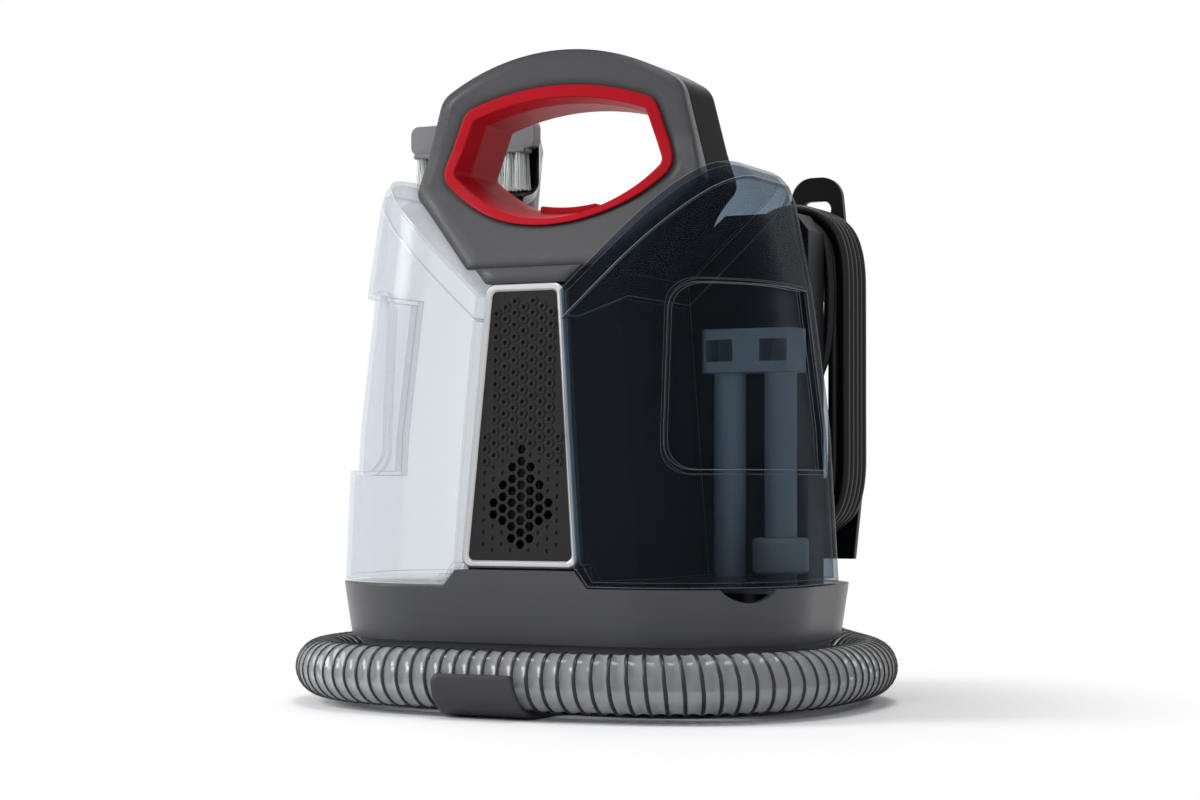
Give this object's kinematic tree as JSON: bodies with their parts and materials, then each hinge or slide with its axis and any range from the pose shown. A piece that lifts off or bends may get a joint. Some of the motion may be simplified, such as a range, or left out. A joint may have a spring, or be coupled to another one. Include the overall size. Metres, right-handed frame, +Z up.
{
  "type": "portable carpet spot cleaner",
  "caption": "Portable carpet spot cleaner with clear and tinted lift-off tanks, a carry handle, a suction hose wound round the base, a stored hand tool and a wound cord.",
  "frame": {"origin": "on the floor under the middle of the base", "axes": "+Z up, -Y towards the front panel, +X towards the tinted dirty-water tank"},
  "size_m": [0.33, 0.2777, 0.3575],
  "materials": {
    "base_grey": "satin dark grey moulding",
    "housing_grey": "satin metallic grey",
    "black_plastic": "satin black",
    "grille_black": "fine matt black",
    "red_plastic": "gloss red",
    "silver_trim": "satin silver",
    "clear_tank": "clear, faintly blue",
    "tinted_tank": "smoke-tinted clear",
    "cap_grey": "grey",
    "pale_plastic": "pale grey",
    "hose_smoke": "smoke-clear with dark ribs",
    "tube_clear": "clear tube",
    "rubber": "matt",
    "steel": "plain",
    "motor_metal": "zinc grey",
    "bristle_white": "white nylon",
    "cord_black": "satin black",
    "brass": "bright"
  },
  "bodies": {
    "machine": {"base_tray": "base_grey", "rubber_feet": "rubber", "base_screws": "steel", "base_shell": "base_grey", "tank_wells": "base_grey", "port_collars": "base_grey", "hose_clip": "base_grey", "port_gaskets": "rubber", "tank_receiver": "black_plastic", "column_front": "black_plastic", "column_rear": "black_plastic", "neck_collar": "black_plastic", "front_bezel": "silver_trim", "front_grille": "grille_black", "handle_front": "housing_grey", "handle_rear": "black_plastic", "handle_trim": "red_plastic", "switch_body": "black_plastic", "fan_housing": "black_plastic", "motor_can": "motor_metal", "motor_mount": "rubber", "pump": "black_plastic", "water_tube_supply": "tube_clear", "water_tube_pressure": "tube_clear", "suction_duct": "black_plastic", "air_duct": "black_plastic", "hose_port": "black_plastic", "hose_cuff_base": "black_plastic", "suction_hose": "hose_smoke", "hose_cuff_tool": "black_plastic", "rear_housing": "black_plastic", "rear_cover": "black_plastic", "cord_hook_lower": "black_plastic", "cord_gland": "rubber", "power_cord": "cord_black", "power_plug": "cord_black", "plug_pins": "brass", "tool_handle": "black_plastic", "tool_holder": "black_plastic"},
    "switch": {"power_switch": "red_plastic"},
    "clean_tank": {"clean_tank_body": "clear_tank", "clean_tank_top": "clear_tank"},
    "clean_cap": {"clean_tank_cap": "cap_grey", "clean_cap_seal": "rubber"},
    "valve": {"valve_poppet": "pale_plastic"},
    "dirty_tank": {"dirty_tank_body": "tinted_tank", "dirty_tank_top": "tinted_tank", "separator_tubes": "pale_plastic", "separator_hood": "pale_plastic"},
    "dirty_cap": {"dirty_tank_cap": "cap_grey", "dirty_cap_seal": "rubber"},
    "float": {"float_ring": "pale_plastic"},
    "rotor": {"impeller": "cap_grey", "motor_shaft": "steel"},
    "trigger": {"tool_trigger": "red_plastic"},
    "tool_head": {"tool_nozzle": "black_plastic", "tool_head_plate": "pale_plastic", "tool_bristles": "bristle_white", "tool_screw": "steel"},
    "hook": {"cord_hook_upper": "black_plastic"}
  },
  "joints": [
    {"name": "power_rocker", "type": "hinge", "parent": "machine", "child": "switch", "pos_m": [0, -0.025, 0.255], "axis": [0, 1, 0], "range_deg": [-5, 5]},
    {"name": "clean_tank_lift", "type": "slide", "parent": "machine", "child": "clean_tank", "axis": [-0.7382, 0, 0.6746], "range_m": [0, 0.15]},
    {"name": "dirty_tank_lift", "type": "slide", "parent": "machine", "child": "dirty_tank", "axis": [0.7382, 0, 0.6746], "range_m": [0, 0.15]},
    {"name": "clean_cap_turn", "type": "hinge", "parent": "clean_tank", "child": "clean_cap", "pos_m": [-0.078, -0.014, 0.06], "axis": [0, 0, 1], "range_deg": [0, 90]},
    {"name": "valve_push", "type": "slide", "parent": "clean_cap", "child": "valve", "axis": [0, 0, 1], "range_m": [0, 0.003], "stiffness_N_per_m": 250, "springref_m": -0.003},
    {"name": "dirty_cap_turn", "type": "hinge", "parent": "dirty_tank", "child": "dirty_cap", "pos_m": [0.078, -0.014, 0.06], "axis": [0, 0, 1], "range_deg": [0, 90]},
    {"name": "float_rise", "type": "slide", "parent": "dirty_tank", "child": "float", "axis": [0, 0, 1], "range_m": [0, 0.07]},
    {"name": "rotor_spin", "type": "hinge", "parent": "machine", "child": "rotor", "pos_m": [0, -0.003, 0.1], "axis": [0, 0, 1], "continuous": true},
    {"name": "trigger_pull", "type": "hinge", "parent": "machine", "child": "trigger", "pos_m": [-0.09221, 0.1129, 0.23699], "axis": [-0.9611, 0.0325, -0.2744], "range_deg": [0, 4], "stiffness_Nm_per_rad": 0.6, "springref_deg": -3.44},
    {"name": "tool_head_pull", "type": "slide", "parent": "machine", "child": "tool_head", "axis": [-0.2763, -0.113, 0.9544], "range_m": [0, 0.06]},
    {"name": "hook_swivel", "type": "hinge", "parent": "machine", "child": "hook", "pos_m": [0.09, 0.09, 0.247], "axis": [0, 1, 0], "range_deg": [0, 180]}
  ]
}
